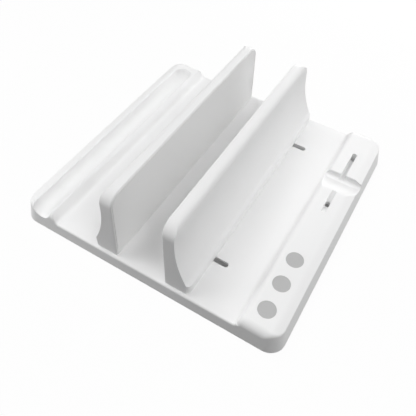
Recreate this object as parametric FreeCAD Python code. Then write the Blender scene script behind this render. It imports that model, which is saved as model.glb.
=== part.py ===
import FreeCAD, Part
import math
import os

# Vertical laptop stand: a wide moulded tray carries two tall uprights with a gap between them
# for a closed laptop. The left upright is screwed down, and the right one slides along two
# slots, so that the gap fits thin and thick machines. The tray's left strip has a pen groove,
# and its right strip has a phone groove, cable channels and three soft grip discs.
#
# Sizes are in millimetres. X runs to the right, Y to the back and Z up. The origin is the
# middle of the footprint, on the surface that the feet stand on.

# Tray outline
tray_width = 220.0
tray_depth = 216.0
stand_off = 1.5                # free height of the feet below the skirt
floor_height = 11.2            # floor of the tray above the skirt's lower edge
strip_height = 18.9            # top of both strips above the skirt's lower edge
side_draft = 0.21              # inward lean of the skirt for each unit of height
end_draft = 0.1
corner_radius = 12.0
side_band_run = 9.0            # the strips' tops slope down in a band beside their outer edges
side_band_angle = 26.0
side_band_blend = 8.0          # soft bend where the band leaves the flat top
side_edge_round = 1.5          # rounding below the band
strip_end_round = 5.8          # rounding at the strips' front and back ends
floor_edge_round = 1.4
skirt_wall = 2.4
deck = 2.4                     # plate thickness under the floor

# Left strip with the pen groove
ridge_from_left = 30.2         # top of the ridge beside the floor
left_slope_run = 4.0
left_slope_cove = 3.5          # hollow rounding where the slope meets the floor
left_ridge_round = 1.2
pen_from_left = 20.2
pen_radius = 8.2
pen_rise = 0.3                 # height of the groove's axis above the strip's top
pen_rim_round = 0.8
pen_end_from_back = 19.0       # centre of the groove's ball end

# Right strip with the phone groove and cable channels
right_strip_width = 31.2
right_slope_run = 3.0
right_slope_cove = 3.0
right_ridge_round = 3.0
phone_wall_from_back = 57.6    # upright wall that a phone leans on
phone_run = 19.5               # length of the groove, wall and ramp together
phone_lip = 0.3                # height of the groove's bottom above the tray's floor
phone_bottom_round = 3.0
phone_ramp_round = 12.0
phone_rim_round = 0.8
phone_rim_run = 1.0            # room for that rounding behind the wall
cable_from_right = 19.3
cable_width = 3.8
rear_channel_depth = 5.5
rear_hole_from_back = 31.5     # the round through-hole behind the phone groove
front_channel_from_front = 126.3
front_channel_length = 25.0    # its bottom is an arc from end to end
front_channel_depth = 4.5
front_hole_length = 5.6
notch_width = 7.0
notch_height = 5.0
notch_round = 2.3

# Grip discs in the right strip
disc_radius = 6.35
disc_thickness = 1.2
disc_clearance = 0.1
disc_from_right = 19.9
first_disc_from_front = 18.9
disc_spacing = 22.2

# Uprights, seen along Y: distances outwards from the inner face, heights above the floor
left_inner_from_left = 89.3    # inner face of the left upright
upright_gap = 40.4             # between the two inner faces at rest
upright_height = 62.5
upright_inset = 3.6            # from the tray's front and back edges to the uprights' ends
front_lean = 0.029             # lean of the end faces for each unit of height
back_lean = 0.12
inner_lean = 0.021             # the inner faces lean over the gap
top_width = 7.9
waist_width = 8.5
waist_height = 31.5            # where the waist line would meet the flank line
flank_radius = 85.0
top_round = 5.0
foot_width = 19.9
foot_shoulder_width = 16.9
foot_shoulder_height = 10.6
foot_lip_height = 8.6
shoulder_round = 4.0
foot_lip_round = 2.6
foot_seam_round = 0.5
foot_corner_radius = 6.5       # seen from above, at the foot's front and back
front_top_radius = 11.0
back_top_radius = 14.0
inner_edge_round = 1.0
upright_wall = 2.3
upright_rib = 1.6
upright_rib_lift = 0.5         # the ribs end this far above the tray's floor
middle_rib_count = 3           # ribs between the two that hold the screw bosses

# Soft pads on the inner faces
pad_thickness = 1.5
pad_recess = 1.2
pad_margin = 1.2               # from the upright's outline to the pad's
pad_lift = 1.0
pad_clearance = 0.1
pad_edge_bevel = 0.2

# Screws, washers and threaded inserts that hold the uprights
screw_from_front = 38.3
screw_from_back = 40.3
screw_from_inner = 9.6         # from the upright's inner face to the screw's axis
screw_radius = 1.95
screw_head_radius = 3.9
screw_head_height = 2.6
screw_head_rim = 1.2           # straight part of the head, beside the washer
screw_crown_radius = 2.4       # flat top of the head
screw_drive_width = 1.0
screw_drive_length = 4.4
screw_drive_depth = 1.4
screw_length = 12.0
washer_radius = 6.0
washer_thickness = 1.0
insert_radius = 2.8
insert_length = 8.0
insert_groove_depth = 0.35
insert_groove_height = 1.2
thread_clearance = 0.05
slot_width = 4.4
slide_left = 24.0              # travel of the right upright from its place at rest
slide_right = 19.0
slide_clearance = 0.1          # between the sliding upright and the tray, above and below
travel_margin = 0.3
boss_radius = 4.6
boss_height = 14.0
boss_roof = 1.2                # left closed above the screw's tip
tip_hole_radius = 2.15

# Underside of the tray
rib_thickness = 1.8
rib_lift = 1.0                 # ribs end this far above the skirt's lower edge
floor_ribs_along = 1           # between the two ribs below the strips' inner feet
ribs_across = 3
pocket_margin = 1.2            # room around a washer inside its pocket
cable_run_width = 6.0
foot_radius = 8.0
foot_recess = 1.0
foot_inset = 22.0              # from the tray's sides to a foot's centre
foot_boss_wall = 1.6
foot_clearance = 0.1
foot_edge_bevel = 0.7

# Places worked out from the sizes above
left_side = -tray_width / 2
right_side = tray_width / 2
front_side = -tray_depth / 2
back_side = tray_depth / 2
skirt_bottom = stand_off
floor_top = skirt_bottom + floor_height
strip_top = skirt_bottom + strip_height
deck_bottom = floor_top - deck
reach = 5.0                    # how far a cutting tool runs past the face that it opens
smallest_round = 0.6           # rounding kept on inside edges that would vanish
longest_share = 0.9            # most of a line that one rounding may take up
closeness = 0.02               # places nearer than this count as one

ridge_x = left_side + ridge_from_left
strip_edge_x = right_side - right_strip_width
slope_rise = strip_height - floor_height
pen_x = left_side + pen_from_left
pen_end_y = back_side - pen_end_from_back
phone_wall_y = back_side - phone_wall_from_back
phone_bottom = floor_top + phone_lip
cable_x = right_side - cable_from_right
rear_hole_y = back_side - rear_hole_from_back
front_channel_y = front_side + front_channel_from_front
left_foot_x = ridge_x + left_slope_run
right_foot_x = strip_edge_x - right_slope_run

left_inner_x = left_side + left_inner_from_left
right_inner_x = left_inner_x + upright_gap
screw_rows = {
    "front": front_side + screw_from_front,
    "rear": back_side - screw_from_back,
}
left_screw_x = left_inner_x - screw_from_inner
right_screw_x = right_inner_x + screw_from_inner
slot_start = right_screw_x - slide_left - travel_margin - slot_width / 2
slot_end = right_screw_x + slide_right + travel_margin + slot_width / 2


def point(x, y, z):
    return FreeCAD.Vector(x, y, z)


def block(x_range, y_range, z_range):
    size = [high - low for low, high in (x_range, y_range, z_range)]
    return Part.makeBox(*size, point(x_range[0], y_range[0], z_range[0]))


def cylinder(radius, x, y, z_range):
    return Part.makeCylinder(radius, z_range[1] - z_range[0], point(x, y, z_range[0]))


def fused(solids):
    first, *others = solids
    return first.multiFuse(others).removeSplitter() if others else first


def only_solid(shape):
    return shape.Solids[0]


def corner_points(before, corner, after, radius):
    # where a rounding starts, passes its middle and ends at a corner, within its two lines
    longest_run = longest_share * min((before - corner).Length, (after - corner).Length)
    back = (before - corner).normalize()
    ahead = (after - corner).normalize()
    half_angle = back.getAngle(ahead) / 2
    run = min(radius / math.tan(half_angle), longest_run)
    radius = run * math.tan(half_angle)
    middle_line = (back + ahead).normalize()
    middle = corner + middle_line * (radius / math.sin(half_angle) - radius)
    return corner + back * run, middle, corner + ahead * run


def rounded_face(corners):
    # a flat face from (place, radius) corners, joined by straight lines and tangent arcs
    edges = []
    last_end = None
    first_start = None
    for i, (corner, radius) in enumerate(corners):
        before = corners[i - 1][0]
        after = corners[(i + 1) % len(corners)][0]
        if radius > 0:
            start, middle, end = corner_points(before, corner, after, radius)
        else:
            start = end = corner
        if last_end is None:
            first_start = start
        else:
            edges.append(Part.LineSegment(last_end, start).toShape())
        if radius > 0:
            edges.append(Part.Arc(start, middle, end).toShape())
        last_end = end
    edges.append(Part.LineSegment(last_end, first_start).toShape())
    return Part.Face(Part.Wire(edges))


def inset_corners(corners, distance):
    # the same outline moved inwards: convex roundings shrink, hollow ones grow
    count = len(corners)
    area = sum(
        corners[i - 1][0] * corners[i][1] - corners[i][0] * corners[i - 1][1] for i in range(count)
    )
    turn = 1 if area > 0 else -1
    result = []
    for i, (a, b, radius) in enumerate(corners):
        before = corners[i - 1]
        after = corners[(i + 1) % count]
        run_in = (a - before[0], b - before[1])
        run_out = (after[0] - a, after[1] - b)
        size_in = math.hypot(*run_in)
        size_out = math.hypot(*run_out)
        normal_in = (-run_in[1] / size_in * turn, run_in[0] / size_in * turn)
        normal_out = (-run_out[1] / size_out * turn, run_out[0] / size_out * turn)
        share = distance / (1 + normal_in[0] * normal_out[0] + normal_in[1] * normal_out[1])
        new_a = a + (normal_in[0] + normal_out[0]) * share
        new_b = b + (normal_in[1] + normal_out[1]) * share
        bend = (run_in[0] * run_out[1] - run_in[1] * run_out[0]) * turn
        new_radius = radius - distance if bend > 0 else radius + distance
        result.append((new_a, new_b, max(new_radius, 0) if radius > 0 else 0))
    return result


def prism_along_x(corners, x_range):
    face = rounded_face([(point(x_range[0], y, z), radius) for y, z, radius in corners])
    return face.extrude(point(x_range[1] - x_range[0], 0, 0))


def prism_along_y(corners, y_range):
    face = rounded_face([(point(x, y_range[0], z), radius) for x, z, radius in corners])
    return face.extrude(point(0, y_range[1] - y_range[0], 0))


def prism_along_z(corners, z_range):
    face = rounded_face([(point(x, y, z_range[0]), radius) for x, y, radius in corners])
    return face.extrude(point(0, 0, z_range[1] - z_range[0]))


def round_ended_bar(x_range, y_range, z_range):
    # a slot's inside: its two short ends are half circles
    width = min(x_range[1] - x_range[0], y_range[1] - y_range[0])
    bar = block(x_range, y_range, z_range)
    if width < max(x_range[1] - x_range[0], y_range[1] - y_range[0]):
        radius = width / 2
        if x_range[1] - x_range[0] > y_range[1] - y_range[0]:
            middle = sum(y_range) / 2
            ends = [(x_range[0] + radius, middle), (x_range[1] - radius, middle)]
            bar = block((ends[0][0], ends[1][0]), y_range, z_range)
        else:
            middle = sum(x_range) / 2
            ends = [(middle, y_range[0] + radius), (middle, y_range[1] - radius)]
            bar = block(x_range, (ends[0][1], ends[1][1]), z_range)
        bar = fused([bar] + [cylinder(radius, x, y, z_range) for x, y in ends])
    return bar


def blended(shape, choose):
    # rounds edges with a radius at each end: choose(edge) gives (start, end) radii or None
    radii = []
    for number, edge in enumerate(shape.Edges, 1):
        pair = choose(edge)
        if pair:
            radii.append((number, pair[0], pair[1]))
    source = drawing.addObject("Part::Feature", "source")
    source.Shape = shape
    blend = drawing.addObject("Part::Fillet", "blend")
    blend.Base = source
    blend.Edges = radii
    drawing.recompute()
    return only_solid(blend.Shape.copy())


def skirt_body(inset, height):
    # the tray's plan outline, leaning inwards with height, with round upright corners
    width = tray_width - 2 * inset
    depth = tray_depth - 2 * inset
    side_lean = side_draft * height
    end_lean = end_draft * height
    body = Part.makeWedge(
        -width / 2, 0, -depth / 2, -depth / 2 + end_lean, -width / 2 + side_lean,
        width / 2, height, depth / 2, depth / 2 - end_lean, width / 2 - side_lean,
    )
    body.rotate(point(0, 0, 0), point(1, 0, 0), 90)
    body.translate(point(0, 0, skirt_bottom))
    upright_edges = [edge for edge in body.Edges if edge.BoundBox.ZLength > height / 2]
    return body.makeFillet(corner_radius - inset, upright_edges)


def strip_section(side, inset):
    # across one strip: side of the skirt, slope to the floor, flat top and outer band
    if side == "left":
        outwards, edge_x, foot_x = -1, ridge_x, left_foot_x
    else:
        outwards, edge_x, foot_x = 1, strip_edge_x, right_foot_x
    lean = (edge_x - foot_x) / slope_rise
    low = skirt_bottom - inset
    outer_x = outwards * (tray_width / 2 + reach)
    bend_x = outwards * (tray_width / 2 - side_band_run)
    drop = abs(outer_x - bend_x) * math.tan(math.radians(side_band_angle))
    corners = [
        (outer_x, low, 0),
        (foot_x - lean * (floor_top - low), low, 0),
        (edge_x, strip_top, 0),
        (bend_x, strip_top, side_band_blend),
        (outer_x, strip_top - drop, 0),
    ]
    return inset_corners(corners, inset)


def strip_body(side, inset):
    # one raised strip with its outer top edge and its ends rounded
    full = skirt_body(inset, strip_height + reach)
    section = strip_section(side, inset)
    strip = full.common(prism_along_y(section, (front_side - reach, back_side + reach)))
    side_x = tray_width / 2 - inset - side_draft * strip_height
    straight_x = side_x - (corner_radius - inset)
    side_radius = max(side_edge_round - inset, smallest_round)
    end_radius = strip_end_round - inset
    lowest = strip_top - inset - side_band_run * math.tan(math.radians(side_band_angle))

    def radius_at(x):
        share = min(1, max(0, (abs(x) - straight_x) / (side_x - straight_x)))
        return end_radius + (side_radius - end_radius) * share

    def radii(edge):
        box = edge.BoundBox
        if box.ZMin < lowest - smallest_round or box.XLength < closeness:
            return None
        if box.YLength > tray_depth / 2:
            at_side = min(abs(box.XMin), abs(box.XMax)) > side_x - smallest_round
            return (side_radius, side_radius) if at_side else None
        start, end = (radius_at(vertex.Point.x) for vertex in edge.Vertexes)
        return start, end

    return blended(only_solid(strip), radii)


def outer_body():
    # strips and floor as one body, with hollow roundings at the slopes' feet, and one chain
    # of roundings that runs over the floor's end edges, up the slopes and along the ridges
    slab = skirt_body(0, floor_height).common(
        block((ridge_x, strip_edge_x), (front_side - reach, back_side + reach), (0, floor_top))
    )
    body = fused([strip_body("left", 0), slab, strip_body("right", 0)])

    def coves(edge):
        box = edge.BoundBox
        off_floor = abs(box.ZMin - floor_top) + box.ZLength
        if box.YLength < tray_depth / 2 or off_floor > closeness:
            return None
        cove = left_slope_cove if box.XMax < 0 else right_slope_cove
        return cove, cove

    def chain(edge):
        box = edge.BoundBox
        inside = box.XMin > ridge_x - closeness and box.XMax < strip_edge_x + closeness
        if not inside or box.ZMin < floor_top - closeness:
            return None
        ridge_round = left_ridge_round if box.XMax < 0 else right_ridge_round
        if box.YLength > tray_depth / 2:
            on_ridge = box.ZMin > strip_top - closeness
            return (ridge_round, ridge_round) if on_ridge else None
        if box.ZMax < strip_top - floor_edge_round / 2:
            return floor_edge_round, floor_edge_round
        start, end = (vertex.Point.z for vertex in edge.Vertexes)
        rising = (floor_edge_round, ridge_round)
        return rising if start < end else rising[::-1]

    return blended(blended(only_solid(body), coves), chain)


def pen_groove():
    # half a section from the lowest point up to a rounded rim, run along Y and turned at the end
    centre = point(0, 0, pen_rise)
    grown = pen_radius + pen_rim_round
    rim_x = math.sqrt(grown ** 2 - (pen_rim_round + pen_rise) ** 2)
    rim_centre = point(rim_x, 0, -pen_rim_round)
    outwards = (rim_centre - centre).normalize()
    upwards = point(0, 0, 1)
    lowest = centre - upwards * pen_radius
    bowl_middle = centre + (outwards - upwards).normalize() * pen_radius
    rim_start = centre + outwards * pen_radius
    rim_middle = rim_centre + (upwards - outwards).normalize() * pen_rim_round
    rim_end = point(rim_x, 0, 0)
    corners = [rim_end, point(rim_x, 0, reach), point(0, 0, reach), lowest]
    edges = [Part.Arc(lowest, bowl_middle, rim_start), Part.Arc(rim_start, rim_middle, rim_end)]
    edges += [Part.LineSegment(a, b) for a, b in zip(corners, corners[1:])]
    half = Part.Face(Part.Wire([edge.toShape() for edge in edges]))
    run = half.extrude(point(0, front_side - reach - pen_end_y, 0))
    turn = half.revolve(point(0, 0, 0), upwards, 180)
    groove = fused([run, run.mirror(point(0, 0, 0), point(1, 0, 0)), turn])
    groove.translate(point(pen_x, pen_end_y, strip_top))
    return groove


def pen_groove_shell():
    radius = pen_radius + skirt_wall
    start = point(pen_x, front_side - reach, strip_top + pen_rise)
    trough = Part.makeCylinder(radius, pen_end_y - front_side + reach, start, point(0, 1, 0))
    end = Part.makeSphere(radius, point(pen_x, pen_end_y, strip_top + pen_rise))
    return fused([trough, end])


def phone_groove(extra):
    wall_y = phone_wall_y + extra
    bottom = phone_bottom - extra
    ramp_y = phone_wall_y - phone_run
    above = strip_top + reach
    grow = extra * math.hypot(1, phone_run / (strip_top - phone_bottom))
    corners = [
        (wall_y, bottom, phone_bottom_round + extra),
        (ramp_y - grow, strip_top, phone_ramp_round if extra == 0 else 0),
        (ramp_y - grow - phone_run, strip_top, 0),
        (ramp_y - grow - phone_run, above, 0),
    ]
    if extra == 0:
        rim_y = wall_y + phone_rim_run
        corners += [(rim_y, above, 0), (rim_y, strip_top, 0), (wall_y, strip_top, phone_rim_round)]
    else:
        corners.append((wall_y, above, 0))
    return prism_along_x(corners, (right_foot_x - reach, right_side + reach))


def cable_channels(extra):
    # the rear one runs from the phone groove to its hole, the front one has an arc for a bottom
    half = cable_width / 2 + extra
    across = (cable_x - half, cable_x + half)
    along = (phone_wall_y - phone_bottom_round, rear_hole_y + half)
    bottom = strip_top - rear_channel_depth - extra
    rear = round_ended_bar(across, along, (bottom, strip_top + reach))
    half_length = front_channel_length / 2
    arc_radius = (half_length ** 2 + front_channel_depth ** 2) / (2 * front_channel_depth)
    arc_centre = point(across[0], front_channel_y, strip_top - front_channel_depth + arc_radius)
    front = Part.makeCylinder(arc_radius + extra, 2 * half, arc_centre, point(1, 0, 0))
    return [rear, front]


def cable_holes():
    half = cable_width / 2
    across = (cable_x - half, cable_x + half)
    along = (front_channel_y - front_hole_length / 2, front_channel_y + front_hole_length / 2)
    height = (0, strip_top)
    return [cylinder(half, cable_x, rear_hole_y, height), round_ended_bar(across, along, height)]


def disc_places():
    x = right_side - disc_from_right
    first_y = front_side + first_disc_from_front
    return {
        "front": (x, first_y),
        "middle": (x, first_y + disc_spacing),
        "rear": (x, first_y + 2 * disc_spacing),
    }


def foot_places():
    x = tray_width / 2 - foot_inset
    y = tray_depth / 2 - foot_inset
    return {
        "front_left": (-x, -y),
        "front_right": (x, -y),
        "rear_left": (-x, y),
        "rear_right": (x, y),
    }


def screw_pockets(grow):
    # clear room below the deck for the washers: long for the sliding screws
    half = washer_radius + pocket_margin + grow
    low = skirt_bottom - reach if grow == 0 else skirt_bottom + rib_lift
    pockets = []
    for y in screw_rows.values():
        for start, end in (
            (left_screw_x, left_screw_x),
            (right_screw_x - slide_left, right_screw_x + slide_right),
        ):
            pockets.append(
                block((start - half, end + half), (y - half, y + half), (low, strip_top + reach))
            )
    return pockets


def ribs():
    low = skirt_bottom + rib_lift
    high = strip_top + reach
    half = rib_thickness / 2
    plates = []
    for i in range(floor_ribs_along + 2):
        x = left_foot_x + (right_foot_x - left_foot_x) * i / (floor_ribs_along + 1)
        plates.append(block((x - half, x + half), (front_side, back_side), (low, high)))
    for i in range(ribs_across):
        y = front_side + tray_depth * (i + 1) / (ribs_across + 1)
        plates.append(block((left_side, right_side), (y - half, y + half), (low, high)))
    lattice = fused(plates + screw_pockets(rib_thickness))
    run = block(
        (cable_x - cable_run_width / 2, cable_x + cable_run_width / 2),
        (front_channel_y - front_hole_length, back_side),
        (0, high),
    )
    lattice = lattice.cut(screw_pockets(0) + [run])
    boss = foot_radius + foot_boss_wall
    bosses = [cylinder(boss, x, y, (skirt_bottom, high)) for x, y in foot_places().values()]
    return [lattice] + bosses


def tray_core():
    # what is hollow below the tray: it follows the outside at one wall's distance
    low_core = skirt_body(skirt_wall, strip_height).common(
        block((left_side, right_side), (front_side, back_side), (0, deck_bottom))
    )
    core = fused([low_core, strip_body("left", skirt_wall), strip_body("right", skirt_wall)])
    shells = [pen_groove_shell(), phone_groove(skirt_wall)] + cable_channels(skirt_wall)
    return core.cut(shells + ribs())


def base_tray():
    cuts = [pen_groove(), phone_groove(0)] + cable_channels(0) + cable_holes()
    for x, y in disc_places().values():
        seat = (strip_top - disc_thickness, strip_top + reach)
        cuts.append(cylinder(disc_radius + disc_clearance, x, y, seat))
    for x, y in foot_places().values():
        seat = (skirt_bottom - reach, skirt_bottom + foot_recess)
        cuts.append(cylinder(foot_radius + foot_clearance, x, y, seat))
    half = slot_width / 2
    for y in screw_rows.values():
        cuts.append(cylinder(half, left_screw_x, y, (0, floor_top + reach)))
        along_x = (slot_start, slot_end)
        cuts.append(round_ended_bar(along_x, (y - half, y + half), (0, floor_top + reach)))
    notch = [
        (cable_x - notch_width / 2, skirt_bottom - reach, 0),
        (cable_x + notch_width / 2, skirt_bottom - reach, 0),
        (cable_x + notch_width / 2, skirt_bottom + notch_height, notch_round),
        (cable_x - notch_width / 2, skirt_bottom + notch_height, notch_round),
    ]
    cuts.append(prism_along_y(notch, (back_side - reach, back_side + reach)))
    cuts.append(tray_core())
    return only_solid(outer_body().cut(cuts).removeSplitter())


def upright_section(low):
    # distance outwards from the inner face, height above the tray's floor, radius
    return [
        (-inner_lean * low, low, 0),
        (foot_width, low, foot_seam_round if low == 0 else 0),
        (foot_width, foot_lip_height, foot_lip_round),
        (foot_shoulder_width, foot_shoulder_height, shoulder_round),
        (waist_width, waist_height, flank_radius),
        (top_width, upright_height, top_round),
        (-inner_lean * upright_height, upright_height, 0),
    ]


def upright_side(low):
    # distance along Y, height above the tray's floor, radius
    start = front_side + upright_inset
    end = back_side - upright_inset
    return [
        (start + front_lean * low, low, 0),
        (end - back_lean * low, low, 0),
        (end - back_lean * upright_height, upright_height, back_top_radius),
        (start + front_lean * upright_height, upright_height, front_top_radius),
    ]


def upright_plan():
    start = front_side + upright_inset
    end = back_side - upright_inset
    return [
        (-reach, start - reach, 0),
        (-reach, end + reach, 0),
        (foot_width, end, foot_corner_radius),
        (foot_width, start, foot_corner_radius),
    ]


def upright_form():
    form = prism_along_y(upright_section(0), (front_side, back_side))
    form = form.common(prism_along_x(upright_side(0), (-reach, foot_width + reach)))
    form = form.common(prism_along_z(upright_plan(), (0, upright_height + reach)))
    inner_face = min(form.Faces, key=lambda face: face.CenterOfMass.x)
    outline = [edge for edge in inner_face.Edges if edge.BoundBox.ZMax > inner_edge_round]
    return form.makeFillet(inner_edge_round, outline)


def upright_rib_places():
    front, rear = screw_rows.values()
    step = (rear - front) / (middle_rib_count + 1)
    between = [front + step * i for i in range(middle_rib_count + 2)]
    beyond = [(front_side + upright_inset + front) / 2, (back_side - upright_inset + rear) / 2]
    return between + beyond


def upright_core():
    low = -upright_wall - reach
    section = inset_corners(upright_section(low), upright_wall)
    side = inset_corners(upright_side(low), upright_wall)
    plan = inset_corners(upright_plan(), upright_wall)
    core = prism_along_y(section, (front_side, back_side))
    core = core.common(prism_along_x(side, (-reach, foot_width)))
    core = core.common(prism_along_z(plan, (-reach, upright_height)))
    blocks = []
    half = upright_rib / 2
    for y in upright_rib_places():
        height = (upright_rib_lift, upright_height)
        blocks.append(block((-reach, foot_width), (y - half, y + half), height))
    for y in screw_rows.values():
        blocks.append(cylinder(boss_radius, screw_from_inner, y, (0, boss_height)))
    return core.cut(blocks)


def leaning_slab(near, far):
    # room between two planes that lean like the inner face, at these depths below it
    low, high = -reach, upright_height + reach
    corners = [
        (near - inner_lean * low, low, 0),
        (far - inner_lean * low, low, 0),
        (far - inner_lean * high, high, 0),
        (near - inner_lean * high, high, 0),
    ]
    return prism_along_y(corners, (front_side, back_side))


def pad_outline(grow):
    return inset_corners(upright_side(pad_lift - pad_margin), pad_margin - grow)


def pad_form():
    pad = prism_along_x(pad_outline(0), (-reach, reach))
    pad = pad.common(leaning_slab(pad_recess - pad_thickness, pad_recess))
    front_face = min(pad.Faces, key=lambda face: face.CenterOfMass.x)
    return pad.makeChamfer(pad_edge_bevel, front_face.Edges)


def upright():
    recess = prism_along_x(pad_outline(pad_clearance), (-reach, reach))
    holes = [recess.common(leaning_slab(-reach, pad_recess))]
    for y in screw_rows.values():
        tip = boss_height - boss_roof
        holes.append(cylinder(insert_radius, screw_from_inner, y, (-reach, insert_length)))
        holes.append(cylinder(tip_hole_radius, screw_from_inner, y, (-reach, tip)))
    return only_solid(upright_form().cut([upright_core()] + holes))


def turned(profile, x, y):
    # a ring or shaft turned around an upright axis from (radius, height) corners
    face = Part.Face(Part.makePolygon([point(radius, 0, z) for radius, z in profile + profile[:1]]))
    ring = face.revolve(point(0, 0, 0), point(0, 0, 1), 360)
    ring.translate(point(x, y, 0))
    return ring


def threaded_insert(x, y):
    waist = insert_radius - insert_groove_depth
    bore = screw_radius + thread_clearance
    middle = insert_length / 2
    half = insert_groove_height / 2
    profile = [
        (bore, 0),
        (insert_radius, 0),
        (insert_radius, middle - half),
        (waist, middle - half),
        (waist, middle + half),
        (insert_radius, middle + half),
        (insert_radius, insert_length),
        (bore, insert_length),
    ]
    return turned(profile, x, y)


def washer(x, y, top):
    hole = screw_radius + thread_clearance
    low = top - washer_thickness
    profile = [(hole, low), (washer_radius, low), (washer_radius, top), (hole, top)]
    return turned(profile, x, y)


def screw(x, y, head_top):
    low = head_top - screw_head_height
    profile = [
        (0, low),
        (screw_crown_radius, low),
        (screw_head_radius, head_top - screw_head_rim),
        (screw_head_radius, head_top),
        (screw_radius, head_top),
        (screw_radius, head_top + screw_length),
        (0, head_top + screw_length),
    ]
    body = turned(profile, x, y)
    long_half = screw_drive_length / 2
    short_half = screw_drive_width / 2
    drive_z = (low - reach, low + screw_drive_depth)
    return body.cut([
        block((x - long_half, x + long_half), (y - short_half, y + short_half), drive_z),
        block((x - short_half, x + short_half), (y - long_half, y + long_half), drive_z),
    ])


def rubber_foot(x, y):
    foot = cylinder(foot_radius, x, y, (0, skirt_bottom + foot_recess))
    edges = [edge for edge in foot.Edges if edge.BoundBox.ZMax < closeness]
    return foot.makeChamfer(foot_edge_bevel, edges)


def placed(shape, side, lift):
    # from the upright's own frame to its place on the tray
    copy = shape.copy()
    if side == "left":
        copy = copy.mirror(point(0, 0, 0), point(1, 0, 0))
        copy.translate(point(left_inner_x, 0, floor_top + lift))
    else:
        copy.translate(point(right_inner_x, 0, floor_top + lift))
    return copy


drawing = FreeCAD.newDocument("laptop_stand")
pieces = {"base_tray": base_tray()}

for side, lift in (("left", 0), ("right", slide_clearance)):
    pieces[side + "_upright"] = placed(upright(), side, lift)
    pieces[side + "_pad"] = placed(pad_form(), side, lift)
    screw_x = left_screw_x if side == "left" else right_screw_x
    washer_top = deck_bottom - lift
    for row, y in screw_rows.items():
        insert = threaded_insert(screw_x, y)
        insert.translate(point(0, 0, floor_top + lift))
        pieces[side + "_insert_" + row] = insert
        pieces[side + "_washer_" + row] = washer(screw_x, y, washer_top)
        pieces[side + "_screw_" + row] = screw(screw_x, y, washer_top - washer_thickness)

for name, (x, y) in disc_places().items():
    pieces["grip_disc_" + name] = cylinder(disc_radius, x, y, (strip_top - disc_thickness, strip_top))

for name, (x, y) in foot_places().items():
    pieces["foot_" + name] = rubber_foot(x, y)

os.makedirs("parts", exist_ok=True)
for name, shape in pieces.items():
    shape.exportStep("parts/" + name + ".step")
    print(name, "valid" if shape.isValid() else "INVALID", len(shape.Solids), round(shape.Volume, 1))
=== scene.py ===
import math

import bpy
import numpy as np
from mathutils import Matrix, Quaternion, Vector


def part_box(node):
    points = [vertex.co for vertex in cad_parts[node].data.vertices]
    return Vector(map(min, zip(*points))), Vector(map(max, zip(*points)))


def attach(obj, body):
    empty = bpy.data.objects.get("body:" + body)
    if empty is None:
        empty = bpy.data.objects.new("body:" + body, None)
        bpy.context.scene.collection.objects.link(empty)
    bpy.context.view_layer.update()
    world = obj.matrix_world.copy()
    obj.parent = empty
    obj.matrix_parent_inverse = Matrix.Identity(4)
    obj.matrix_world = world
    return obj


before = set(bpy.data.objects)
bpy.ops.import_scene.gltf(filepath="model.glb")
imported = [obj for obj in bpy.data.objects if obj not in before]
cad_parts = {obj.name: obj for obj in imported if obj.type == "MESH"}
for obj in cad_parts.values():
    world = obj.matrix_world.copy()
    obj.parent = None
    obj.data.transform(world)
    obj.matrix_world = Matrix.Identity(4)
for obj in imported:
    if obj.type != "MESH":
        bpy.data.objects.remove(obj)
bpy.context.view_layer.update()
print("frame loaded:", len(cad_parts), "pieces")

photoView = {
    "place": (0.1165, -0.2308, 0.3027),
    "aim": (0.0147, -0.0376, 0.02),
    "roll": 3.66,                  # degrees, the top of the picture leans to the left
    "lens": 40.78,
    "sensor": 36.0,
    "nearest": 0.01,               # nothing closer to the camera than this is drawn
}


def makeCamera(settings):
    camera = bpy.data.objects.new("photoCamera", bpy.data.cameras.new("photoCamera"))
    bpy.context.scene.collection.objects.link(camera)
    place = Vector(settings["place"])
    turn = (Vector(settings["aim"]) - place).to_track_quat("-Z", "Y")
    camera.rotation_mode = "QUATERNION"
    camera.rotation_quaternion = turn @ Quaternion((0, 0, 1), math.radians(settings["roll"]))
    camera.location = place
    camera.data.lens = settings["lens"]
    camera.data.sensor_width = settings["sensor"]
    camera.data.clip_start = settings["nearest"]
    bpy.context.scene.camera = camera


makeCamera(photoView)
print("camera set at the photo's view")


def addNode(tree, kind, place, **settings):  # each setting is a property or an input of the node
    node = tree.nodes.new(kind)
    node.location = place
    for name, value in settings.items():
        if hasattr(node, name):
            setattr(node, name, value)
        else:
            node.inputs[name].default_value = value
    return node


def addMath(tree, operation, place, *values):  # the values are sockets or numbers
    node = addNode(tree, "ShaderNodeMath", place, operation=operation)
    for socket, value in zip(node.inputs, values):
        if isinstance(value, (int, float)):
            socket.default_value = value
        else:
            tree.links.new(value, socket)
    return node.outputs[0]


def newGroup(name, inputs, outputs):  # inputs are (label, kind, value), outputs are labels
    group = bpy.data.node_groups.new(name, "ShaderNodeTree")
    for label, kind, value in inputs:
        socket = group.interface.new_socket(label, in_out="INPUT", socket_type=kind)
        socket.default_value = value
    for label in outputs:
        group.interface.new_socket(label, in_out="OUTPUT", socket_type="NodeSocketFloat")
    start = addNode(group, "NodeGroupInput", (-1200, 0))
    end = addNode(group, "NodeGroupOutput", (900, 0))
    return group, start, end


grainEffect = {
    "pitSoftness": 0.5,
    "dustFiner": 1.7,              # times finer than the pits
    "dustDetail": 2.0,
    "dustRoughness": 0.55,
    "patchDetail": 3.0,
    "patchRoughness": 0.6,
}


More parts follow.
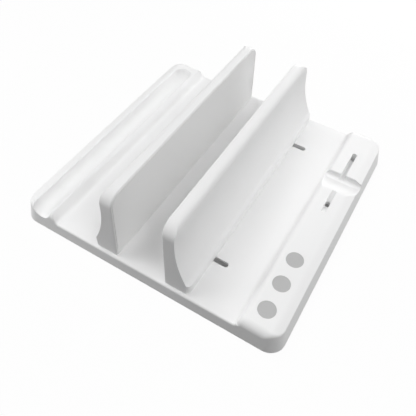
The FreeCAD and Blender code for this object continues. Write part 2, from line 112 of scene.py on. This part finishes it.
def makeMouldGrain(settings):
    # grain is a pattern of small round pits with fine noise on it, patches are slow, broad noise
    group, start, end = newGroup(
        "mouldGrain",
        [("Grain Size", "NodeSocketFloat", 1600.0), ("Patch Size", "NodeSocketFloat", 30.0)],
        ["Grain", "Patches"],
    )
    coords = addNode(group, "ShaderNodeTexCoord", (-1200, -300))
    pits = addNode(group, "ShaderNodeTexVoronoi", (-700, 300), feature="SMOOTH_F1",
                   Smoothness=settings["pitSoftness"])
    dust = addNode(group, "ShaderNodeTexNoise", (-700, 0),
                   Detail=settings["dustDetail"], Roughness=settings["dustRoughness"])
    patches = addNode(group, "ShaderNodeTexNoise", (-700, -300),
                      Detail=settings["patchDetail"], Roughness=settings["patchRoughness"])
    for texture in (pits, dust, patches):
        group.links.new(coords.outputs["Object"], texture.inputs["Vector"])
    size = start.outputs["Grain Size"]
    finer = addMath(group, "MULTIPLY", (-900, 0), size, settings["dustFiner"])
    group.links.new(size, pits.inputs["Scale"])
    group.links.new(finer, dust.inputs["Scale"])
    group.links.new(start.outputs["Patch Size"], patches.inputs["Scale"])
    grain = addMath(group, "ADD", (-300, 200), pits.outputs["Distance"], dust.outputs["Fac"])
    group.links.new(grain, end.inputs["Grain"])
    group.links.new(patches.outputs["Fac"], end.inputs["Patches"])
    return group


rubEffect = {
    "drawnOut": (1.0, 0.14, 1.0),  # the less along an axis, the longer the streaks on it
    "detail": 6.0,
    "roughness": 0.7,
    "full": 0.8,                   # noise from here up is a full streak
}


def makeRubMarks(settings):
    # soft streaks that hands and things leave: noise drawn out along one way, kept where it is high
    group, start, end = newGroup(
        "rubMarks",
        [("Streak Size", "NodeSocketFloat", 60.0), ("Turn", "NodeSocketVector", (0.0, 0.0, 0.0)),
         ("Least", "NodeSocketFloat", 0.55)],
        ["Rubs"],
    )
    coords = addNode(group, "ShaderNodeTexCoord", (-1200, -300))
    turned = addNode(group, "ShaderNodeMapping", (-900, 0), Scale=settings["drawnOut"])
    streaks = addNode(group, "ShaderNodeTexNoise", (-600, 0),
                      Detail=settings["detail"], Roughness=settings["roughness"])
    kept = addNode(group, "ShaderNodeMapRange", (-200, 0), interpolation_type="SMOOTHSTEP")
    kept.inputs["From Max"].default_value = settings["full"]
    group.links.new(coords.outputs["Object"], turned.inputs["Vector"])
    group.links.new(start.outputs["Turn"], turned.inputs["Rotation"])
    group.links.new(turned.outputs["Vector"], streaks.inputs["Vector"])
    group.links.new(start.outputs["Streak Size"], streaks.inputs["Scale"])
    group.links.new(streaks.outputs["Fac"], kept.inputs["Value"])
    group.links.new(start.outputs["Least"], kept.inputs["From Min"])
    group.links.new(kept.outputs["Result"], end.inputs["Rubs"])
    return group


latheEffect = {
    "noiseSize": 900.0,
    "noiseDetail": 2.0,
    "wobble": 3.0,                 # how far the noise moves the lines, in radians
}


def makeTurnedLines(settings):
    # what a lathe leaves: a sine of the distance from the piece's upright axis, with some noise
    group, start, end = newGroup(
        "turnedLines",
        [("Centre", "NodeSocketVector", (0.0, 0.0, 0.0)), ("Spacing", "NodeSocketFloat", 0.00025)],
        ["Lines"],
    )
    coords = addNode(group, "ShaderNodeTexCoord", (-1200, -300))
    moved = addNode(group, "ShaderNodeVectorMath", (-1000, 0), operation="SUBTRACT")
    flat = addNode(group, "ShaderNodeVectorMath", (-800, 0), operation="MULTIPLY")
    flat.inputs[1].default_value = (1.0, 1.0, 0.0)
    far = addNode(group, "ShaderNodeVectorMath", (-600, 0), operation="LENGTH")
    noise = addNode(group, "ShaderNodeTexNoise", (-600, -300),
                    Scale=settings["noiseSize"], Detail=settings["noiseDetail"])
    group.links.new(coords.outputs["Object"], moved.inputs[0])
    group.links.new(start.outputs["Centre"], moved.inputs[1])
    group.links.new(moved.outputs["Vector"], flat.inputs[0])
    group.links.new(flat.outputs["Vector"], far.inputs[0])
    group.links.new(coords.outputs["Object"], noise.inputs["Vector"])
    turns = addMath(group, "DIVIDE", (-400, 0), far.outputs["Value"], start.outputs["Spacing"])
    angle = addMath(group, "MULTIPLY", (-200, 0), turns, 2 * math.pi)
    wobble = addMath(group, "MULTIPLY", (-200, -300), noise.outputs["Fac"], settings["wobble"])
    wave = addMath(group, "SINE", (200, 0), addMath(group, "ADD", (0, 0), angle, wobble))
    half = addMath(group, "MULTIPLY", (400, 0), wave, 0.5)  # from -1..1 to 0..1
    group.links.new(addMath(group, "ADD", (600, 0), half, 0.5), end.inputs["Lines"])
    return group


mouldGrain = makeMouldGrain(grainEffect)
rubMarks = makeRubMarks(rubEffect)
turnedLines = makeTurnedLines(latheEffect)
print("shared effects ready")


def startFinish(name, settings):
    # tone and roughness drift with the patches, and the grain lifts the surface by microns
    material = bpy.data.materials.new(name)
    material.use_nodes = True
    tree = material.node_tree
    shader = tree.nodes["Principled BSDF"]
    shader.inputs["IOR"].default_value = settings.get("ior", 1.5)
    shader.inputs["Metallic"].default_value = settings.get("metallic", 0.0)
    shader.inputs["Sheen Weight"].default_value = settings.get("sheen", 0.0)
    grain = addNode(tree, "ShaderNodeGroup", (-1300, 0), node_tree=mouldGrain)
    grain.inputs["Grain Size"].default_value = settings["grainSize"]
    grain.inputs["Patch Size"].default_value = settings["patchSize"]
    tone = addNode(tree, "ShaderNodeMix", (-800, 300), data_type="RGBA")
    tone.inputs["A"].default_value = (*settings["colour"], 1)
    tone.inputs["B"].default_value = (*settings["colourPatch"], 1)
    rough = addNode(tree, "ShaderNodeMapRange", (-800, 0))
    rough.inputs["To Min"].default_value = settings["roughness"][0]
    rough.inputs["To Max"].default_value = settings["roughness"][1]
    bump = addNode(tree, "ShaderNodeBump", (-800, -300))
    bump.inputs["Strength"].default_value = settings["bump"]
    bump.inputs["Distance"].default_value = settings["bumpHeight"]
    tree.links.new(grain.outputs["Patches"], tone.inputs["Factor"])
    tree.links.new(grain.outputs["Patches"], rough.inputs["Value"])
    tree.links.new(grain.outputs["Grain"], bump.inputs["Height"])
    tree.links.new(tone.outputs["Result"], shader.inputs["Base Color"])
    tree.links.new(bump.outputs["Normal"], shader.inputs["Normal"])
    return material, shader, rough, bump


def addShine(tree, shader, rough, mask, amount):
    # where the mask is high, the surface is shinier: it takes some of the roughness away
    shine = addMath(tree, "MULTIPLY", (-600, -100), mask, amount)
    less = addMath(tree, "SUBTRACT", (-400, 0), rough.outputs["Result"], shine)
    tree.links.new(less, shader.inputs["Roughness"])


def mouldedFinish(name, settings):
    # moulded plastic or rubber, with streaks where things rub
    material, shader, rough = startFinish(name, settings)[:3]
    tree = material.node_tree
    rubs = addNode(tree, "ShaderNodeGroup", (-1300, -600), node_tree=rubMarks)
    rubs.inputs["Streak Size"].default_value = settings["streakSize"]
    rubs.inputs["Turn"].default_value = settings["streakTurn"]
    rubs.inputs["Least"].default_value = settings["streakLeast"]
    addShine(tree, shader, rough, rubs.outputs["Rubs"], settings["streakShine"])
    return material


def turnedMetal(name, settings, node):
    # the lathe's lines run round the piece's own axis, in its roughness and in a second bump
    material, shader, rough, bump = startFinish(name, settings)
    tree = material.node_tree
    low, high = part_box(node)
    lines = addNode(tree, "ShaderNodeGroup", (-1300, -900), node_tree=turnedLines)
    lines.inputs["Centre"].default_value = [(a + b) / 2 for a, b in zip(low, high)]
    lines.inputs["Spacing"].default_value = settings["lineSpacing"]
    addShine(tree, shader, rough, lines.outputs["Lines"], settings["lineShine"])
    grooves = addNode(tree, "ShaderNodeBump", (-500, -600))
    grooves.inputs["Strength"].default_value = settings["lineBump"]
    grooves.inputs["Distance"].default_value = settings["lineDepth"]
    tree.links.new(lines.outputs["Lines"], grooves.inputs["Height"])
    tree.links.new(bump.outputs["Normal"], grooves.inputs["Normal"])
    tree.links.new(grooves.outputs["Normal"], shader.inputs["Normal"])
    return material


def dress(node, material):
    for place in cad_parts[node].material_slots:
        place.material = material


sides = ("left", "right")
rows = ("front", "rear")

# sizes below are patterns per metre, heights and depths are metres, turns are radians
tray = {
    "colour": (0.895, 0.895, 0.894),
    "colourPatch": (0.885, 0.886, 0.887),
    "roughness": (0.55, 0.64),
    "grainSize": 1500.0,
    "patchSize": 30.0,
    "bump": 0.3,
    "bumpHeight": 0.000012,
    "streakSize": 70.0,
    "streakTurn": (0.0, 0.0, 0.35),
    "streakLeast": 0.56,
    "streakShine": 0.08,
}
dress("base_tray", mouldedFinish("trayPlastic", tray))

pinMarks = {                       # where the mould's pins pushed the tray out, below its floor
    "columns": (-0.062, -0.016, 0.016, 0.062),
    "rows": (-0.092, -0.040, 0.040, 0.092),
    "seat": 0.0103,                # height of the floor's underside
    "radius": 0.003,
    "height": 0.0003,
    "sink": 0.0002,                # how far each mark goes into the floor
    "edge": 0.0001,                # bevel round the seen face
    "steps": 40,                   # corners of each circle
    "colour": (0.84, 0.84, 0.84),  # the pins' flat ends leave it smoother and a little darker
    "colourPatch": (0.83, 0.83, 0.83),
    "roughness": (0.28, 0.34),
}


def makePinMarks(settings):
    # flat buttons turned round upright axes: a profile of radius and height, from the pole on the
    # seen face over a small bevel and down the side to the pole inside the floor, goes round in
    # equal steps, and each button is the same rings moved to its column and row
    radius, edge, steps = settings["radius"], settings["edge"], settings["steps"]
    face = settings["seat"] - settings["height"]
    top = settings["seat"] + settings["sink"]
    profile = np.array([(radius - edge, face), (radius, face + edge), (radius, top)])
    angles = np.arange(steps) * 2 * np.pi / steps
    rings = np.stack([
        profile[:, :1] * np.cos(angles),
        profile[:, :1] * np.sin(angles),
        np.repeat(profile[:, 1:], steps, axis=1),
    ], axis=-1).reshape(-1, 3)
    button = np.vstack([rings, [(0, 0, face), (0, 0, top)]])
    here = np.arange(steps)
    ahead = np.roll(here, -1)
    walls = [
        np.stack([low + here, low + ahead, high + here, low + ahead, high + ahead, high + here], -1)
        for low, high in ((0, steps), (steps, 2 * steps))
    ]
    poles = [
        np.stack([np.full(steps, 3 * steps), ahead, here], -1),
        np.stack([np.full(steps, 3 * steps + 1), 2 * steps + here, 2 * steps + ahead], -1),
    ]
    faces = np.vstack([part.reshape(-1, 3) for part in walls + poles])
    places = np.array([(x, y, 0) for x in settings["columns"] for y in settings["rows"]])
    points = (button[None] + places[:, None]).reshape(-1, 3)
    faces = (faces[None] + np.arange(len(places))[:, None, None] * len(button)).reshape(-1, 3)
    mesh = bpy.data.meshes.new("pinMarks")
    mesh.from_pydata(points.tolist(), [], faces.tolist())
    mesh.materials.append(mouldedFinish("pinMarkPlastic", {**tray, **settings}))
    marks = bpy.data.objects.new("pinMarks", mesh)
    bpy.context.scene.collection.objects.link(marks)
    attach(marks, "base")
    return len(places)


print("pin marks made:", makePinMarks(pinMarks))

uprights = {
    "colour": (0.895, 0.895, 0.894),
    "colourPatch": (0.885, 0.886, 0.887),
    "roughness": (0.55, 0.64),
    "grainSize": 1500.0,
    "patchSize": 26.0,
    "bump": 0.3,
    "bumpHeight": 0.000012,
    "streakSize": 80.0,
    "streakTurn": (0.5, 0.0, 0.0),  # hands slide up and down on the flanks
    "streakLeast": 0.56,
    "streakShine": 0.08,
}
for side in sides:
    dress(side + "_upright", mouldedFinish(side + "UprightPlastic", uprights))

pads = {
    "colour": (0.89, 0.89, 0.888),
    "colourPatch": (0.875, 0.875, 0.872),
    "roughness": (0.6, 0.7),
    "grainSize": 2400.0,
    "patchSize": 45.0,
    "bump": 0.3,
    "bumpHeight": 0.000015,
    "ior": 1.42,
    "sheen": 0.1,
    "streakSize": 60.0,
    "streakTurn": (1.2, 0.0, 0.0),  # laptops slide down between the pads
    "streakLeast": 0.5,
    "streakShine": 0.12,
}
for side in sides:
    dress(side + "_pad", mouldedFinish(side + "PadSilicone", pads))

gripDiscs = {
    "colour": (0.5, 0.5, 0.5),
    "colourPatch": (0.48, 0.48, 0.48),
    "roughness": (0.6, 0.7),
    "grainSize": 2200.0,
    "patchSize": 80.0,
    "bump": 0.35,
    "bumpHeight": 0.00002,
    "ior": 1.42,
    "sheen": 0.1,
    "streakSize": 120.0,
    "streakTurn": (0.0, 0.0, 1.0),
    "streakLeast": 0.5,
    "streakShine": 0.1,
}
discSilicone = mouldedFinish("discSilicone", gripDiscs)
for place in ("front", "middle", "rear"):
    dress("grip_disc_" + place, discSilicone)

feet = {
    "colour": (0.2, 0.2, 0.21),
    "colourPatch": (0.15, 0.15, 0.157),
    "roughness": (0.65, 0.8),
    "grainSize": 1900.0,
    "patchSize": 110.0,
    "bump": 0.45,
    "bumpHeight": 0.00003,
    "sheen": 0.15,
    "streakSize": 140.0,
    "streakTurn": (0.0, 0.0, 0.6),
    "streakLeast": 0.5,
    "streakShine": 0.15,
}
footRubber = mouldedFinish("footRubber", feet)
for row in rows:
    for side in sides:
        dress("foot_" + row + "_" + side, footRubber)

screws = {                         # bright zinc plating
    "colour": (0.62, 0.62, 0.6),
    "colourPatch": (0.5, 0.52, 0.52),
    "roughness": (0.28, 0.42),
    "grainSize": 1500.0,
    "patchSize": 260.0,
    "bump": 0.1,
    "bumpHeight": 0.00001,
    "metallic": 1.0,
    "lineSpacing": 0.0003,
    "lineShine": 0.08,
    "lineBump": 0.3,
    "lineDepth": 0.000006,
}
washers = {                        # the same plating on punched sheet, duller and more worn
    "colour": (0.6, 0.6, 0.58),
    "colourPatch": (0.46, 0.48, 0.49),
    "roughness": (0.3, 0.46),
    "grainSize": 1200.0,
    "patchSize": 320.0,
    "bump": 0.2,
    "bumpHeight": 0.00001,
    "metallic": 1.0,
    "lineSpacing": 0.0005,
    "lineShine": 0.05,
    "lineBump": 0.15,
    "lineDepth": 0.000006,
}
inserts = {                        # turned brass
    "colour": (0.72, 0.55, 0.27),
    "colourPatch": (0.6, 0.43, 0.19),
    "roughness": (0.26, 0.42),
    "grainSize": 1500.0,
    "patchSize": 300.0,
    "bump": 0.1,
    "bumpHeight": 0.00001,
    "metallic": 1.0,
    "lineSpacing": 0.00035,
    "lineShine": 0.1,
    "lineBump": 0.4,
    "lineDepth": 0.000008,
}
for kind, settings in (("screw", screws), ("washer", washers), ("insert", inserts)):
    for side in sides:
        for row in rows:
            node = side + "_" + kind + "_" + row
            dress(node, turnedMetal(side + kind.title() + row.title() + "Metal", settings, node))
print("finishes given to", len(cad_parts), "pieces")

studio = {
    "floorSize": 6.0,
    "floorColour": 0.8,
    "floorRoughness": 0.9,
    "floorBounce": 0.2,            # how pale the floor is for light that it throws back
    "floorGlow": 0.96,             # share of plain white in what the camera sees of the floor
    "glowRun": (0.25, 1.0),        # from and to these distances the share grows to all
    "shade": (0.102, 0.1),         # half sizes of the part under the tray that isn't made white
    "underGlow": 0.25,             # what that part throws up, so that the underside can be seen
    "worldLight": 0.0,             # the lamps alone light the object
    "lamps": [
        {"name": "leftLamp", "place": (-0.65, 0.0, 1.46), "size": 0.9, "watts": 10.3},
        {"name": "rightLamp", "place": (0.65, 0.0, 1.46), "size": 0.9, "watts": 7.4},
        {"name": "frontLamp", "place": (1.03, -0.595, 1.07), "size": 0.9, "watts": 5.4},
        {"name": "lowLeftLamp", "place": (-0.45, -0.3, 0.12), "size": 0.35, "watts": 1.1},
        {"name": "lowRightLamp", "place": (0.45, 0.4, 0.15), "size": 0.35, "watts": 0.82},
        {"name": "backLamp", "place": (0.0, 0.55, 0.2), "size": 0.35, "watts": 1.0},
    ],
}


def seenByEye(tree):
    # one for rays from the camera and for those that a mirror or glass passes on
    rays = addNode(tree, "ShaderNodeLightPath", (-1500, 400))
    camera, mirror, glass = [
        rays.outputs[kind] for kind in ("Is Camera Ray", "Is Glossy Ray", "Is Transmission Ray")
    ]
    direct = addMath(tree, "MAXIMUM", (-1300, 400), camera, mirror)
    return addMath(tree, "MAXIMUM", (-1100, 400), direct, glass)


def floorGlow(tree, settings, seen):
    # outside the tray's footprint the eye sees plain white, more of it further away, with the
    # lamps' shadow left in the rest, and under the tray the floor throws up a weak glow
    coords = addNode(tree, "ShaderNodeTexCoord", (-1500, -300))
    place = addNode(tree, "ShaderNodeSeparateXYZ", (-1300, -200))
    tree.links.new(coords.outputs["Object"], place.inputs["Vector"])
    beyond = []
    for axis, edge in zip("XY", settings["shade"]):
        away = addMath(tree, "ABSOLUTE", (-1100, -200), place.outputs[axis])
        beyond.append(addMath(tree, "GREATER_THAN", (-900, -200), away, edge))
    clear = addMath(tree, "MAXIMUM", (-700, -200), *beyond)
    far = addNode(tree, "ShaderNodeVectorMath", (-1300, -500), operation="LENGTH")
    share = addNode(tree, "ShaderNodeMapRange", (-1100, -500), interpolation_type="SMOOTHSTEP")
    share.inputs["From Min"].default_value = settings["glowRun"][0]
    share.inputs["From Max"].default_value = settings["glowRun"][1]
    share.inputs["To Min"].default_value = settings["floorGlow"]
    tree.links.new(coords.outputs["Object"], far.inputs[0])
    tree.links.new(far.outputs["Value"], share.inputs["Value"])
    both = addMath(tree, "MULTIPLY", (-500, -200), clear, seen)
    shown = addMath(tree, "MULTIPLY", (-300, -200), both, share.outputs["Result"])
    either = addMath(tree, "MAXIMUM", (-700, -500), clear, seen)
    neither = addMath(tree, "SUBTRACT", (-500, -500), 1.0, either)
    thrown = addMath(tree, "MULTIPLY", (-300, -500), neither, settings["underGlow"])
    return addMath(tree, "ADD", (-100, -300), shown, thrown)


def makeFloor(settings):
    half = settings["floorSize"] / 2
    corners = [(-half, -half, 0), (half, -half, 0), (half, half, 0), (-half, half, 0)]
    mesh = bpy.data.meshes.new("floor")
    mesh.from_pydata(corners, [], [(0, 1, 2, 3)])
    floor = bpy.data.objects.new("floor", mesh)
    bpy.context.scene.collection.objects.link(floor)
    material = bpy.data.materials.new("paleFloor")
    material.use_nodes = True
    tree = material.node_tree
    shader = tree.nodes["Principled BSDF"]
    shader.inputs["Roughness"].default_value = settings["floorRoughness"]
    shader.inputs["Specular IOR Level"].default_value = 0.0
    seen = seenByEye(tree)
    tone = addNode(tree, "ShaderNodeMix", (-500, 200), data_type="RGBA")
    tone.inputs["A"].default_value = (*[settings["floorBounce"]] * 3, 1)
    tone.inputs["B"].default_value = (*[settings["floorColour"]] * 3, 1)
    tree.links.new(seen, tone.inputs["Factor"])
    tree.links.new(tone.outputs["Result"], shader.inputs["Base Color"])
    glow = addNode(tree, "ShaderNodeEmission", (0, -300))
    glow.inputs["Color"].default_value = (1, 1, 1, 1)
    mix = addNode(tree, "ShaderNodeMixShader", (300, 0))
    tree.links.new(floorGlow(tree, settings, seen), mix.inputs["Fac"])
    tree.links.new(shader.outputs["BSDF"], mix.inputs[1])
    tree.links.new(glow.outputs["Emission"], mix.inputs[2])
    # from below, the floor is clear
    side = addNode(tree, "ShaderNodeNewGeometry", (0, 400))
    nothing = addNode(tree, "ShaderNodeBsdfTransparent", (300, 300))
    through = addNode(tree, "ShaderNodeMixShader", (600, 0))
    tree.links.new(side.outputs["Backfacing"], through.inputs["Fac"])
    tree.links.new(mix.outputs["Shader"], through.inputs[1])
    tree.links.new(nothing.outputs["BSDF"], through.inputs[2])
    tree.links.new(through.outputs["Shader"], tree.nodes["Material Output"].inputs["Surface"])
    mesh.materials.append(material)


def makeWorld(settings):
    # plain white for the eye, and its own light for everything else
    world = bpy.data.worlds.new("studioWorld")
    world.use_nodes = True
    tree = world.node_tree
    background = tree.nodes["Background"]
    background.inputs["Color"].default_value = (1, 1, 1, 1)
    strength = addNode(tree, "ShaderNodeMix", (-300, 0), data_type="FLOAT")
    strength.inputs["A"].default_value = settings["worldLight"]
    strength.inputs["B"].default_value = 1.0
    tree.links.new(seenByEye(tree), strength.inputs["Factor"])
    tree.links.new(strength.outputs["Result"], background.inputs["Strength"])
    bpy.context.scene.world = world


def makeLamp(settings):
    # a round soft lamp turned to the origin
    data = bpy.data.lights.new(settings["name"], "AREA")
    data.shape = "DISK"
    data.size = settings["size"]
    data.energy = settings["watts"]
    lamp = bpy.data.objects.new(settings["name"], data)
    lamp.location = settings["place"]
    lamp.rotation_mode = "QUATERNION"
    lamp.rotation_quaternion = (-Vector(settings["place"])).to_track_quat("-Z", "Y")
    bpy.context.scene.collection.objects.link(lamp)


makeFloor(studio)
makeWorld(studio)
for lamp in studio["lamps"]:
    makeLamp(lamp)
bpy.context.scene.view_settings.view_transform = "Standard"
print("studio ready:", len(studio["lamps"]), "lamps")
